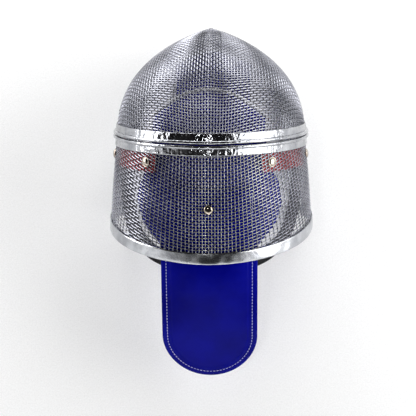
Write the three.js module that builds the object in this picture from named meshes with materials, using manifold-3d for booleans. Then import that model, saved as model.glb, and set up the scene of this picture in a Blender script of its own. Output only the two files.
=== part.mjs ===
// Fencing mask: a wire face basket and a wire back basket joined by two rolled
// seam bands, a U-section edge binding, inner pads, a sprung tongue and straps.
// Millimetres, +Z up, face towards -Y, standing on the flat jaw edge at z = 0.
// The two baskets are described in seam coordinates: x across, t down the seam
// plane from the crown, w out of that plane (+ towards the face, - to the back).
import * as THREE from 'three';
import { mergeVertices } from 'three/addons/utils/BufferGeometryUtils.js';
import Module from 'manifold-3d';

const wasm = await Module();
wasm.setup();

// driving dimensions
const seamTilt = THREE.MathUtils.degToRad(63); // seam plane above the horizontal
const crownY = 0.4; // seam crown, so that the box is centred on the origin
const crownHeight = 216;
const halfWidth = 97; // half width at the seam
const crownReach = 110; // crown down to the widest level
const jawReach = 238; // widest level down to where the sides would close
const frontDepth = 111; // seam plane to the face
const ridge = 21; // how far the face is pinched into a ridge
const archPower = 1.87; // roundness of the seam arch
const ridgePower = 1.53; // roundness of the arch at the face
const backLength = 118.5; // seam to the rear edge along the crown
const crownFall = 6.6; // how far the back basket drops at its rear edge
const sideFlare = 8; // how far its sides widen
const rimTilt = THREE.MathUtils.degToRad(12.3); // rear edge against the seam plane
const rimTurn = 95; // level below which the rear edge turns back again
const rimCurve = 0.0027; // how fast it turns, per mm
const cornerRound = 16; // rear lower corner in side view
const meshThick = 1.8; // two crossing wires
const seamGap = 1.5; // baskets stop this far from the seam plane
const bindingHeight = 10.5;
const bindingThick = 4.4;
const bindingSlot = 2.7;
const rivetRadius = 4.4;
const shankRadius = 1.5;
const clearance = 0.35;
const tongueWidth = 97;
const tongueThick = 2.8;
const tongueFree = 136; // length beyond the rear edge

const colours = {
  wire: [0xa9adb3, 0.35, 1], band: [0xd4d6da, 0.2, 1], binding: [0xc9cbd0, 0.3, 1],
  rivet: [0xb9b4ae, 0.25, 1], pad: [0x1a1f8c, 0.85, 0], piping: [0xe8e8e6, 0.6, 0],
  tongue: [0x0b0f86, 0.35, 0], webbing: [0xa8202a, 0.8, 0], elastic: [0x17171a, 0.85, 0],
};

const sin = Math.sin(seamTilt);
const cos = Math.cos(seamTilt);
const axisX = new THREE.Vector3(1, 0, 0);
const axisT = new THREE.Vector3(0, -cos, -sin);
const axisW = new THREE.Vector3(0, -sin, cos);

function place(x, t, w) {
  return new THREE.Vector3(x, crownY - sin * w - cos * t, crownHeight + cos * w - sin * t);
}

// sizes of the arch at one distance w from the seam plane
function archAt(w) {
  const depth = Math.max(w, 0) / frontDepth;
  const back = THREE.MathUtils.clamp(-w / backLength, 0, 1.2);
  return {
    depth,
    pinch: ridge * depth,
    power: archPower - (archPower - ridgePower) * Math.min(depth, 1),
    half: halfWidth + sideFlare * Math.sin(Math.min(back, 1) * Math.PI / 2),
    top: crownReach - crownFall * back * back,
  };
}

// 1 on the mesh surface: ((|x| + pinch) / (half + pinch))^power + (t part)^2 + (w part)^2
function meshValue(x, t, w) {
  const a = archAt(w);
  const reach = t < crownReach ? a.top : jawReach;
  return ((Math.abs(x) + a.pinch) / (a.half + a.pinch)) ** a.power
    + ((t - crownReach) / reach) ** 2 + a.depth ** 2;
}

function sideX(t, w) {
  const a = archAt(w);
  const reach = t < crownReach ? a.top : jawReach;
  const left = Math.max(0, 1 - ((t - crownReach) / reach) ** 2 - a.depth ** 2);
  return Math.max(0, (a.half + a.pinch) * left ** (1 / a.power) - a.pinch);
}

// level t of the crown side of the mesh above a point x, w
function roofT(x, w) {
  const a = archAt(w);
  const left = 1 - ((Math.abs(x) + a.pinch) / (a.half + a.pinch)) ** a.power - a.depth ** 2;
  return crownReach - a.top * Math.sqrt(Math.max(0, left));
}

function meshNormal(x, t, w) {
  const h = 0.05;
  const g = new THREE.Vector3(
    x < h ? meshValue(h, t, w) - meshValue(-h, t, w) : meshValue(x + h, t, w) - meshValue(x - h, t, w),
    meshValue(x, t + h, w) - meshValue(x, t - h, w),
    meshValue(x, t, w + h) - meshValue(x, t, w - h),
  ).normalize();
  return g;
}

const toWorld = (g) => new THREE.Vector3()
  .addScaledVector(axisX, g.x).addScaledVector(axisT, g.y).addScaledVector(axisW, g.z);

// point on the mesh at right-hand x >= 0, moved out along its normal, on the chosen side
function offsetPoint(x, t, w, out, side = 1) {
  const p = place(x, t, w).addScaledVector(toWorld(meshNormal(x, t, w)), out);
  p.x *= side;
  return p;
}

// ---- closed meshes and booleans ----

function geometryFrom(points, faces) {
  const geometry = new THREE.BufferGeometry();
  geometry.setAttribute('position', new THREE.Float32BufferAttribute(points.flatMap((p) => [p.x, p.y, p.z]), 3));
  geometry.setIndex(faces.flat());
  return geometry;
}

function toManifold(geometry) {
  const bare = geometry.clone();
  bare.deleteAttribute('normal');
  bare.deleteAttribute('uv');
  const merged = mergeVertices(bare, 1e-3);
  const index = merged.index.array;
  const kept = [];
  for (let i = 0; i < index.length; i += 3) {
    const [a, b, c] = [index[i], index[i + 1], index[i + 2]];
    if (a !== b && b !== c && c !== a) kept.push(a, b, c);
  }
  return new wasm.Manifold(new wasm.Mesh({
    numProp: 3, vertProperties: merged.attributes.position.array, triVerts: new Uint32Array(kept),
  }));
}

function fromManifold(solid) {
  const mesh = solid.getMesh();
  const geometry = new THREE.BufferGeometry();
  geometry.setAttribute('position', new THREE.BufferAttribute(new Float32Array(mesh.vertProperties), 3));
  geometry.setIndex(new THREE.BufferAttribute(new Uint32Array(mesh.triVerts), 1));
  return geometry;
}

// rings of equal length joined into a closed tube; loop joins the last ring to the first
function ringSolid(rings, loop = false) {
  const size = rings[0].length;
  const points = rings.flat();
  const faces = [];
  const last = loop ? rings.length : rings.length - 1;
  for (let i = 0; i < last; i += 1) {
    const here = i * size;
    const next = ((i + 1) % rings.length) * size;
    for (let k = 0; k < size; k += 1) {
      const k2 = (k + 1) % size;
      faces.push([here + k, next + k, next + k2], [here + k, next + k2, here + k2]);
    }
  }
  if (!loop) {
    for (const [base, flip] of [[0, false], [(rings.length - 1) * size, true]]) {
      const flat = flattenRing(rings[base / size]);
      for (const [a, b, c] of THREE.ShapeUtils.triangulateShape(flat, [])) {
        faces.push(flip ? [base + a, base + c, base + b] : [base + a, base + b, base + c]);
      }
    }
  }
  return outward(geometryFrom(points, faces));
}

// a ring's own plane, for filling an end
function flattenRing(ring) {
  const centre = ring.reduce((s, p) => s.add(p), new THREE.Vector3()).divideScalar(ring.length);
  const normal = new THREE.Vector3();
  ring.forEach((p, i) => normal.add(p.clone().sub(centre).cross(ring[(i + 1) % ring.length].clone().sub(centre))));
  normal.normalize();
  const u = ring[1].clone().sub(ring[0]).normalize();
  const v = normal.clone().cross(u);
  return ring.map((p) => new THREE.Vector2(p.dot(u), p.dot(v)));
}

function outward(geometry) {
  const p = geometry.attributes.position;
  const idx = geometry.index.array;
  const [a, b, c] = [new THREE.Vector3(), new THREE.Vector3(), new THREE.Vector3()];
  let volume = 0;
  for (let i = 0; i < idx.length; i += 3) {
    a.fromBufferAttribute(p, idx[i]);
    b.fromBufferAttribute(p, idx[i + 1]);
    c.fromBufferAttribute(p, idx[i + 2]);
    volume += a.dot(b.cross(c));
  }
  if (volume < 0) {
    for (let i = 0; i < idx.length; i += 3) [idx[i + 1], idx[i + 2]] = [idx[i + 2], idx[i + 1]];
  }
  return geometry;
}

// a side-view outline in (t, w), swept right across the mask
function sideCut(outline) {
  const across = 150;
  return toManifold(ringSolid([-across, across].map((x) => outline.map(([t, w]) => place(x, t, w)))));
}

const floorT = (w, up = 0) => (crownHeight - up + cos * w) / sin; // t at height z = up
const rimW = (t) => -backLength + (t - crownFall) * Math.tan(rimTilt) - rimCurve * Math.max(t - rimTurn, 0) ** 2;

// lower rear corner of the side view: where the rear edge meets the floor, then rounded
function cornerPoints(steps) {
  let t = 200;
  for (let i = 0; i < 30; i += 1) t = floorT(rimW(t));
  const corner = new THREE.Vector2(t, rimW(t));
  const up = new THREE.Vector2(-1, rimW(t - 1) - rimW(t)).normalize();
  const along = new THREE.Vector2(cos, sin).normalize();
  const a = corner.clone().addScaledVector(up, cornerRound);
  const b = corner.clone().addScaledVector(along, cornerRound);
  const curve = new THREE.QuadraticBezierCurve(a, corner, b);
  return curve.getPoints(steps).map((p) => [p.x, p.y]);
}

// ---- wire baskets ----

// fan of half arches from crown to jaw about the widest line: solid out to the offset
function faceSolid(out) {
  const fans = 26;
  const across = 26;
  const rings = [];
  for (let i = 0; i <= fans; i += 1) {
    const angle = (i / fans) * Math.PI;
    const ring = [];
    for (let k = 0; k <= across; k += 1) {
      const s = (k / across) * 2 - 1;
      const x = halfWidth * Math.sin(Math.abs(s) * Math.PI / 2);
      const reach = angle < Math.PI / 2 ? crownReach : jawReach;
      let r = Math.sqrt(Math.max(0, 1 - (x / halfWidth) ** archPower));
      for (let n = 0; n < 14; n += 1) {
        const a = archAt(Math.sin(angle) * r * frontDepth);
        const next = Math.sqrt(Math.max(0, 1 - ((x + a.pinch) / (a.half + a.pinch)) ** a.power));
        r = (r + next) / 2;
      }
      const t = crownReach - Math.cos(angle) * r * reach;
      const w = Math.sin(angle) * r * frontDepth;
      ring.push(offsetPoint(x, t, w, out, Math.sign(s) || 1));
    }
    rings.push(ring);
  }
  return toManifold(outward(ringSolid(rings)));
}

// arches at distances behind the seam, closed below: solid out to the offset
function backSolid(out) {
  const rings = [];
  const along = 9;
  for (let i = 0; i <= along; i += 1) {
    const w = 6 - (i / along) * (backLength + 26);
    const half = [];
    for (let k = 0; k <= 16; k += 1) {
      const t = crownReach - archAt(w).top * Math.cos((k / 16) * Math.PI / 2);
      half.push([sideX(t, Math.min(w, 0)), t]);
    }
    for (let k = 1; k <= 6; k += 1) {
      const t = crownReach + k * 27;
      half.push([sideX(t, Math.min(w, 0)), t]);
    }
    const right = half.map(([x, t]) => offsetPoint(x, t, Math.min(w, 0), out)
      .addScaledVector(axisW, w - Math.min(w, 0)));
    const left = half.slice(1).reverse().map(([x, t]) => offsetPoint(x, t, Math.min(w, 0), out, -1)
      .addScaledVector(axisW, w - Math.min(w, 0)));
    rings.push([...right, ...left]);
  }
  return toManifold(ringSolid(rings));
}

function shell(make, thickness) {
  return make(thickness / 2).subtract(make(-thickness / 2));
}

const frontOutline = [[-60, seamGap], [floorT(seamGap), seamGap], [floorT(200), 200], [-60, 200]];
const backOutline = [[-60, -seamGap], [-60, rimW(-60)], ...cornerPoints(8), [floorT(-seamGap), -seamGap]];
const wireLift = 2.3; // wire ends this far inside the binding's outer edge

function cutFrom(outline, lift) {
  return sideCut(outline).translate(lift.x, lift.y, lift.z);
}

const faceShell = shell(faceSolid, meshThick);
const backShell = shell(backSolid, meshThick);
const frontLift = new THREE.Vector3(0, 0, wireLift);
const backLift = axisW.clone().multiplyScalar(wireLift).addScaledVector(axisT, -wireLift);
let frontBasket = faceShell.intersect(cutFrom(frontOutline, frontLift));
let backBasket = backShell.intersect(cutFrom(backOutline, backLift))
  .intersect(sideCut([[-80, -seamGap], [-80, -300], [300, -300], [300, -seamGap]]));

// ---- edge binding: a U-section loop along the rear edge, the corners and the jaw ----

// right half of the opening's edge in (t, w), from the crown round to the chin
function edgeRoute() {
  const corner = cornerPoints(6);
  const route = [];
  const rimSteps = 16;
  for (let i = 0; i < rimSteps; i += 1) {
    const t = crownFall + (corner[0][0] - crownFall) * (i / rimSteps) ** 2;
    route.push([t, rimW(t)]);
  }
  route.push(...corner);
  let chinW = frontDepth;
  while (meshValue(0, floorT(chinW), chinW) > 1) chinW -= 0.02;
  const start = corner[corner.length - 1][1];
  const jawSteps = 24;
  for (let i = 1; i <= jawSteps; i += 1) {
    const w = chinW - (chinW - start) * (1 - i / jawSteps) ** 2;
    route.push([floorT(w), w]);
  }
  return route;
}

const edge = edgeRoute();
const edgePoints = edge.map(([t, w], i) => {
  const end = i === 0 || i === edge.length - 1;
  return { x: end ? 0 : sideX(t, w), t, w };
});

function edgeFrames() {
  const right = edgePoints.map((e) => ({ at: place(e.x, e.t, e.w), out: toWorld(meshNormal(e.x, e.t, e.w)) }));
  right[0].out.x = 0;
  right[right.length - 1].out.x = 0;
  const left = right.slice(1, -1).reverse().map((f) => ({
    at: f.at.clone().multiply(new THREE.Vector3(-1, 1, 1)),
    out: f.out.clone().multiply(new THREE.Vector3(-1, 1, 1)),
  }));
  const loop = [...right, ...left];
  return loop.map((f, i) => {
    const before = loop[(i + loop.length - 1) % loop.length].at;
    const after = loop[(i + 1) % loop.length].at;
    const along = after.clone().sub(before).normalize();
    const out = f.out.clone().addScaledVector(along, -f.out.dot(along)).normalize();
    return { at: f.at, out, into: along.clone().cross(out).normalize() };
  });
}

function binding() {
  const half = bindingThick / 2;
  const low = -1.5;
  const section = [[-half, low], [half, low], [half, bindingHeight - 0.8], [half - 0.6, bindingHeight],
    [-half + 0.6, bindingHeight], [-half, bindingHeight - 0.8]];
  const rings = edgeFrames().map((f) => section.map(([out, into]) => f.at.clone()
    .addScaledVector(f.out, out).addScaledVector(f.into, into)));
  const ring = toManifold(ringSolid(rings, true));
  const slot = bindingSlot + clearance;
  const slotCut = shell(faceSolid, slot).intersect(cutFrom(frontOutline, frontLift.clone().multiplyScalar(0.85)))
    .add(shell(backSolid, slot).intersect(cutFrom(backOutline, backLift.clone().multiplyScalar(0.85))));
  const floor = new THREE.BoxGeometry(600, 900, 400).translate(0, 0, 200);
  return ring.intersect(toManifold(floor)).subtract(slotCut);
}

// ---- seam bands: a flat strip over each basket's edge with a rolled lip at the seam ----

function seamBand(side) {
  const lipRadius = 1.8;
  const lipAt = 2.15;
  const section = [[0.35, 1.35]];
  for (let i = 0; i <= 4; i += 1) {
    const a = Math.PI - (i / 4) * Math.PI;
    section.push([lipAt + lipRadius * Math.cos(a), 3 + lipRadius * Math.sin(a)]);
  }
  section.push([4.2, 2], [10.7, 1.95], [11, 1.35]);
  const stations = [];
  for (let i = 0; i <= 18; i += 1) stations.push(-Math.cos((i / 18) * Math.PI / 2));
  for (let i = 1; i <= 6; i += 1) stations.push((i / 6) * 0.56);
  const ringAt = (c, hand) => section.map(([v, out]) => {
    const w = v * side;
    const a = archAt(w);
    const room = Math.sqrt(1 - a.depth ** 2 - (a.pinch / (a.half + a.pinch)) ** a.power);
    const t = crownReach + c * (c < 0 ? a.top : jawReach) * room;
    return offsetPoint(c === -1 ? 0 : sideX(t, w), t, w, out, hand);
  });
  const right = stations.map((c) => ringAt(c, 1));
  const left = stations.slice(1).reverse().map((c) => ringAt(c, -1));
  const above = new THREE.BoxGeometry(600, 900, 400).translate(0, 0, 200 + bindingHeight + 0.2);
  return toManifold(ringSolid([...left, ...right])).intersect(toManifold(above));
}

// ---- soft pieces ----

// a pad between two offsets from a middle surface; edge thickness tapers to a third
function padSolid(middle, rows, columns, thickness) {
  const top = [];
  const bottom = [];
  for (let i = 0; i <= rows; i += 1) {
    for (let k = 0; k <= columns; k += 1) {
      const v = i / rows;
      const u = (k / columns) * 2 - 1;
      const { at, normal } = middle(u, v);
      const rim = (1 - u ** 6) * (1 - (2 * v - 1) ** 6);
      const half = (thickness / 2) * (0.35 + 0.65 * Math.sqrt(Math.max(0, rim)));
      top.push(at.clone().addScaledVector(normal, half));
      bottom.push(at.clone().addScaledVector(normal, -half));
    }
  }
  const size = top.length;
  const id = (i, k) => i * (columns + 1) + k;
  const faces = [];
  for (let i = 0; i < rows; i += 1) {
    for (let k = 0; k < columns; k += 1) {
      const q = [id(i, k), id(i, k + 1), id(i + 1, k + 1), id(i + 1, k)];
      faces.push([q[0], q[1], q[2]], [q[0], q[2], q[3]]);
      faces.push([q[0] + size, q[2] + size, q[1] + size], [q[0] + size, q[3] + size, q[2] + size]);
    }
  }
  const wall = (a, b) => faces.push([a, a + size, b + size], [a, b + size, b]);
  for (let k = 0; k < columns; k += 1) {
    wall(id(0, k), id(0, k + 1));
    wall(id(rows, k + 1), id(rows, k));
  }
  for (let i = 0; i < rows; i += 1) {
    wall(id(i + 1, 0), id(i, 0));
    wall(id(i, columns), id(i + 1, columns));
  }
  return outward(geometryFrom([...top, ...bottom], faces));
}

// crown pad: hangs under the baskets, its front edge an arc ahead of the seam
const padOutline = { // distance w behind the seam -> half width
  w: [-112, -104, -92, -80, -60, -46, -32, -10, 8, 30],
  half: [47, 50, 60, 67, 72, 73, 70, 60, 56.5, 56],
};
const padInset = 15;
const padThick = 8;
const padFront = (x) => 48.5 - 0.0087 * x * x;

function tableAt(table, keys, values, at) {
  const k = table[keys];
  const v = table[values];
  let i = 0;
  while (i < k.length - 2 && at > k[i + 1]) i += 1;
  const f = THREE.MathUtils.clamp((at - k[i]) / (k[i + 1] - k[i]), 0, 1);
  return v[i] + (v[i + 1] - v[i]) * f;
}

// a normal's part along the downward t axis, kept clear of zero
const toLocalT = (normal) => Math.min(-0.45, normal.dot(axisT));

function crownPadMiddle(u, v) {
  const rear = padOutline.w[0];
  const half = tableAt(padOutline, 'w', 'half', rear + v * (30 - rear));
  const x = u * half;
  const w = rear + v * (padFront(x) - rear);
  const t = roofT(x, w);
  const normal = toWorld(meshNormal(Math.abs(x), t, w));
  if (x < 0) normal.x *= -1;
  if (Math.abs(x) < 0.5) normal.x = 0;
  return { at: place(x, t - padInset / toLocalT(normal), w), normal };
}

function crownPad() {
  return padSolid(crownPadMiddle, 20, 16, padThick);
}

function tube(points, radius, sides = 8) {
  const curve = new THREE.CatmullRomCurve3(points);
  const circle = new THREE.Shape().absarc(0, 0, radius, 0, Math.PI * 2);
  const around = circle.getPoints(sides).slice(0, -1);
  return new THREE.ExtrudeGeometry(new THREE.Shape(around), {
    steps: points.length, extrudePath: curve, bevelEnabled: false,
  });
}

function padPiping() {
  const points = [];
  for (let i = 0; i <= 14; i += 1) {
    const { at, normal } = crownPadMiddle(-1 + i / 7, 1);
    points.push(at.addScaledVector(normal, 1).addScaledVector(axisW, 2.3));
  }
  return tube(points, 1.6);
}

// chin pad: a padded shelf across the jaw, from the face mesh inwards
const chinPadHalf = 42;
const chinPadDeep = 46;
const chinPadThick = 13;

function chinPadMiddle(u, v) {
  const x = u * chinPadHalf;
  const height = 27 + 15 * v * v;
  let w = frontDepth;
  const blunt = Math.hypot(x, 14); // keeps the pad's front edge round behind the ridge
  while (meshValue(blunt, floorT(w, height), w) > 1) w -= 0.1;
  const front = w - 8;
  const back = front - chinPadDeep + 10 * u * u;
  w = back + (front - back) * v;
  return { at: place(x, floorT(w, height), w), normal: new THREE.Vector3(0, 0.3, 1).normalize() };
}

function chinPad() {
  return padSolid(chinPadMiddle, 10, 12, chinPadThick);
}

// tongue: a flat sprung strip under the back basket that runs out past the rear edge
const tongueInset = 6.5;
const bowInside = 12.5; // crosswise bow under the basket, and at the free end
const bowFree = 3;
const tongueFrom = -46;

function tongueLine() {
  const points = [];
  for (let w = tongueFrom; w > rimW(crownFall) - 2; w -= 9) {
    points.push(place(0, roofT(0, w) + tongueInset, w));
  }
  const last = points[points.length - 1];
  const before = points[points.length - 2];
  let slope = Math.atan2(before.z - last.z, last.y - before.y);
  const endSlope = THREE.MathUtils.degToRad(49);
  const step = 8;
  const count = Math.round(tongueFree / step);
  let at = last.clone();
  for (let i = 0; i < count; i += 1) {
    slope += (endSlope - slope) * 0.22;
    at = at.clone().add(new THREE.Vector3(0, Math.cos(slope), -Math.sin(slope)).multiplyScalar(step));
    points.push(at);
  }
  return points;
}

function tongue() {
  const line = tongueLine();
  const total = line.length - 1;
  const halfAt = (left) => { // half width at a distance from the round end
    const round = tongueWidth / 2;
    return left >= round ? round : Math.sqrt(round ** 2 - (round - left) ** 2);
  };
  const lengths = [0];
  for (let i = 1; i <= total; i += 1) lengths.push(lengths[i - 1] + line[i].distanceTo(line[i - 1]));
  const whole = lengths[total];
  const curve = new THREE.CatmullRomCurve3(line);
  const rows = 30;
  const rings = [];
  for (let i = 0; i <= rows; i += 1) {
    const s = i < 20 ? (i / 20) * (1 - tongueWidth / 2 / whole)
      : 1 - (tongueWidth / 2 / whole) * (1 - Math.sin(((i - 20) / 10) * Math.PI / 2));
    const at = curve.getPointAt(Math.min(s, 1));
    const tangent = curve.getTangentAt(Math.min(s, 1));
    const normal = axisX.clone().cross(tangent).normalize();
    const half = Math.max(halfAt((1 - s) * whole), 2.5);
    const freed = THREE.MathUtils.smoothstep(s * whole, whole - tongueFree, whole - tongueFree / 3);
    const bow = bowInside + (bowFree - bowInside) * freed;
    const ring = [];
    for (const [side, out] of [[-1, 1], [-0.5, 1], [0, 1], [0.5, 1], [1, 1],
      [1, -1], [0.5, -1], [0, -1], [-0.5, -1], [-1, -1]]) {
      const fall = bow * ((side * half * 2) / tongueWidth) ** 2;
      ring.push(at.clone().addScaledVector(axisX, side * half)
        .addScaledVector(normal, (out * tongueThick) / 2 - fall));
    }
    rings.push(ring);
  }
  return ringSolid(rings);
}

// webbing strip that follows the inside of the back basket from one level to another
const tabAt = -20;
const tabWide = 20;

function strapTab(side) {
  const rings = [];
  const angles = [0.6, 0.72, 0.84, 0.96, 1.08, 1.2, 1.32, 1.44];
  const levels = angles.map((a) => crownReach - crownReach * Math.cos(a));
  levels.push(crownReach, crownReach + 14, crownReach + 28, crownReach + 42);
  for (const t of levels) {
    rings.push([[-10, -1.5], [10, -1.5], [10, -2.9], [-10, -2.9]]
      .map(([v, out]) => offsetPoint(sideX(t, tabAt + (v * tabWide) / 20), t, tabAt + (v * tabWide) / 20, out, side)));
  }
  return ringSolid(rings);
}

// elastic nape strap: from one webbing tab to the other behind the head opening
const napeRoute = [ // x, t, w of the middle line, right half from the tab to the middle
  [90, 142, -18], [91, 132, -36], [89, 118, -58], [85, 102, -82], [76, 84, -104],
  [60, 70, -119], [42, 62, -127], [22, 58, -131], [0, 57, -132],
];
const napeWide = 24;
const napeThick = 1.8;

function napeStrap() {
  const right = napeRoute.map(([x, t, w]) => place(x, t, w));
  const left = right.slice(0, -1).map((p) => p.clone().multiply(new THREE.Vector3(-1, 1, 1)));
  const curve = new THREE.CatmullRomCurve3([...left, ...right.reverse()]);
  const rings = [];
  const steps = 36;
  for (let i = 0; i <= steps; i += 1) {
    const at = curve.getPointAt(i / steps);
    const along = curve.getTangentAt(i / steps);
    const up = axisT.clone().negate().addScaledVector(along, along.dot(axisT)).normalize();
    const out = up.clone().cross(along).normalize();
    rings.push([[1, 1], [-1, 1], [-1, -1], [1, -1]].map(([a, b]) => at.clone()
      .addScaledVector(up, (a * napeWide) / 2).addScaledVector(out, (b * napeThick) / 2)));
  }
  return ringSolid(rings);
}

// ---- rivets ----

const rivetSpots = [ // name, x sign, level t from the arch angle, w
  ['rivet_centre', 0, 0, -64], ['rivet_left', -1, 0.7, tabAt], ['rivet_right', 1, 0.7, tabAt],
  ['rivet_side_left', -1, 1.42, tabAt], ['rivet_side_right', 1, 1.42, tabAt],
];

function rivetFrame([, side, angle, w]) {
  const t = crownReach - archAt(w).top * Math.cos(angle);
  const x = side === 0 ? 0 : sideX(t, w);
  const normal = toWorld(meshNormal(x, t, w));
  if (side === 0) normal.x = 0;
  const at = place(x, t, w);
  if (side < 0) {
    at.x *= -1;
    normal.x *= -1;
  }
  return { at, turn: new THREE.Quaternion().setFromUnitVectors(new THREE.Vector3(0, 1, 0), normal.normalize()) };
}

function rivet(spot) {
  const head = meshThick / 2 + clearance;
  const deep = spot[1] === 0 ? -(tongueInset + tongueThick / 2 + 0.5) : -3.4;
  const inner = 3.6;
  const profile = [[0, deep - 1.2], [inner - 0.6, deep - 1.2], [inner, deep - 0.6], [inner, deep],
    [shankRadius, deep], [shankRadius, head], [rivetRadius, head], [rivetRadius, head + 0.5],
    [rivetRadius * 0.86, head + 1.2], [rivetRadius * 0.5, head + 1.7], [0, head + 1.9]];
  const geometry = new THREE.LatheGeometry(profile.map(([r, h]) => new THREE.Vector2(r, h)), 10);
  const { at, turn } = rivetFrame(spot);
  return geometry.applyQuaternion(turn).translate(at.x, at.y, at.z);
}

function rivetHole(spot) {
  const { at, turn } = rivetFrame(spot);
  const geometry = new THREE.CylinderGeometry(shankRadius + 0.4, shankRadius + 0.4, 34, 12)
    .applyQuaternion(turn).translate(at.x, at.y, at.z);
  return toManifold(geometry);
}

// ---- assembly ----

const mask = new THREE.Group();

function addPiece(name, geometry, finish) {
  const [color, roughness, metalness] = colours[finish];
  const mesh = new THREE.Mesh(geometry, new THREE.MeshStandardMaterial({ color, roughness, metalness }));
  mesh.name = name;
  mask.add(mesh);
}

const holes = rivetSpots.map(rivetHole);
for (const hole of holes) backBasket = backBasket.subtract(hole);
addPiece('front_basket', fromManifold(frontBasket), 'wire');
addPiece('back_basket', fromManifold(backBasket), 'wire');
addPiece('front_seam_band', fromManifold(seamBand(1)), 'band');
addPiece('back_seam_band', fromManifold(seamBand(-1)), 'band');
addPiece('edge_binding', fromManifold(binding()), 'binding');
addPiece('crown_pad', crownPad(), 'pad');
addPiece('pad_piping', padPiping(), 'piping');
addPiece('chin_pad', chinPad(), 'pad');
addPiece('tongue', fromManifold(toManifold(tongue()).subtract(holes[0])), 'tongue');
addPiece('strap_tab_left', fromManifold(toManifold(strapTab(-1)).subtract(holes[1]).subtract(holes[3])), 'webbing');
addPiece('strap_tab_right', fromManifold(toManifold(strapTab(1)).subtract(holes[2]).subtract(holes[4])), 'webbing');
addPiece('nape_strap', napeStrap(), 'elastic');
for (const spot of rivetSpots) addPiece(spot[0], rivet(spot), 'rivet');

export default mask;
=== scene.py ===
# Fencing mask standing on its jaw edge: woven wire baskets, rolled seam bands, edge binding,
# inner pads, sprung tongue and straps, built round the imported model.
import math

import bmesh
import bpy
import numpy as np
from mathutils import Matrix, Vector


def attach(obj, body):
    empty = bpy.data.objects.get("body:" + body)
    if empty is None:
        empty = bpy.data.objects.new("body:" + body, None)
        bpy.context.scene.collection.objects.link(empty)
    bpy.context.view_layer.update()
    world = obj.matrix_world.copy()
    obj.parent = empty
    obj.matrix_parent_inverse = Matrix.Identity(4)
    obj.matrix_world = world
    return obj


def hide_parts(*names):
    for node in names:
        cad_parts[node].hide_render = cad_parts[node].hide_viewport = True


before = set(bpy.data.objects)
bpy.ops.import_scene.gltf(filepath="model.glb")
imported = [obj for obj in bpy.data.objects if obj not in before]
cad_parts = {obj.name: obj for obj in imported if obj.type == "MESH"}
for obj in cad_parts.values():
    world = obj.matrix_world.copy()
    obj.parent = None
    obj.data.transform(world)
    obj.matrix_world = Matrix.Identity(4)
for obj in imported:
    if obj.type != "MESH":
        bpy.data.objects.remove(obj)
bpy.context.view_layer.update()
print("frame loaded:", len(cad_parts), "nodes")

# the shape of the two baskets, in millimetres and degrees: x runs across, t down the seam plane
# from the crown, w out of it (+ to the face, - to the back)
mask = {
    "seamTilt": 63.0, "crownY": 0.4, "crownHeight": 216.0, "halfWidth": 97.0,
    "crownReach": 110.0, "jawReach": 238.0, "frontDepth": 111.0, "ridge": 21.0,
    "archPower": 1.87, "ridgePower": 1.53, "backLength": 118.5, "crownFall": 6.6,
    "sideFlare": 8.0, "rimTilt": 12.3, "rimTurn": 95.0, "rimCurve": 0.0027, "cornerRound": 16.0,
}
plainBowl = {**mask, "ridge": 0.0, "ridgePower": mask["archPower"]}  # the face without its ridge
tiltSin = math.sin(math.radians(mask["seamTilt"]))
tiltCos = math.cos(math.radians(mask["seamTilt"]))
axisT = np.array([0.0, -tiltCos, -tiltSin])
axisW = np.array([0.0, -tiltSin, tiltCos])


def place(x, t, w):
    # point of the standing mask: crown + t * axisT + w * axisW, x across
    x, t, w = np.broadcast_arrays(x, t, w)
    y = mask["crownY"] - tiltSin * w - tiltCos * t
    return np.stack([x, y, mask["crownHeight"] + tiltCos * w - tiltSin * t], -1)


def archAt(w, bowl=mask):
    # the arch at w: its share of the face's depth, the pinch and the power that sharpen it into a
    # ridge as that share grows, the half width that swells to the back, and the reach to the crown
    depth = np.maximum(w, 0) / mask["frontDepth"]
    behind = np.clip(-w / mask["backLength"], 0, 1.2)
    power = bowl["archPower"] - (bowl["archPower"] - bowl["ridgePower"]) * np.minimum(depth, 1)
    half = mask["halfWidth"] + mask["sideFlare"] * np.sin(np.minimum(behind, 1) * math.pi / 2)
    return depth, bowl["ridge"] * depth, power, half, mask["crownReach"] - mask["crownFall"] * behind ** 2


def meshValue(x, t, w, bowl=mask):
    # ((|x| + pinch) / (half + pinch))^power + (t part)^2 + depth^2, which is 1 on the wire
    depth, pinch, power, half, top = archAt(w, bowl)
    reach = np.where(t < mask["crownReach"], top, mask["jawReach"])
    return (((np.abs(x) + pinch) / (half + pinch)) ** power
            + ((t - mask["crownReach"]) / reach) ** 2 + depth ** 2)


def sideX(t, w):
    # half width of the wire surface at t and w: meshValue = 1 solved for x
    depth, pinch, power, half, top = archAt(w)
    reach = np.where(t < mask["crownReach"], top, mask["jawReach"])
    left = np.maximum(0, 1 - ((t - mask["crownReach"]) / reach) ** 2 - depth ** 2)
    return np.maximum(0, (half + pinch) * left ** (1 / power) - pinch)


def roofT(x, w):
    # height of the wire surface over x and w: meshValue = 1 solved for t, above the widest level
    depth, pinch, power, half, top = archAt(w)
    left = 1 - ((np.abs(x) + pinch) / (half + pinch)) ** power - depth ** 2
    return mask["crownReach"] - top * np.sqrt(np.maximum(0, left))


def localNormal(x, t, w):
    # gradient of meshValue in (x, t, w) over steps of h, one-sided beside the ridge
    h = 0.05
    x = np.maximum(x, 1e-6)
    inward = np.where(x < h, 0, h)
    g = np.stack([
        (meshValue(x + h, t, w) - meshValue(x - inward, t, w)) * np.where(x < h, 2, 1),
        meshValue(x, t + h, w) - meshValue(x, t - h, w),
        meshValue(x, t, w + h) - meshValue(x, t, w - h)], -1)
    return g / np.linalg.norm(g, axis=-1, keepdims=True)


def toWorld(g):
    # direction in (x, t, w) turned into the standing mask's own x, y, z
    return g[..., :1] * np.array([1.0, 0, 0]) + g[..., 1:2] * axisT + g[..., 2:] * axisW


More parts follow.
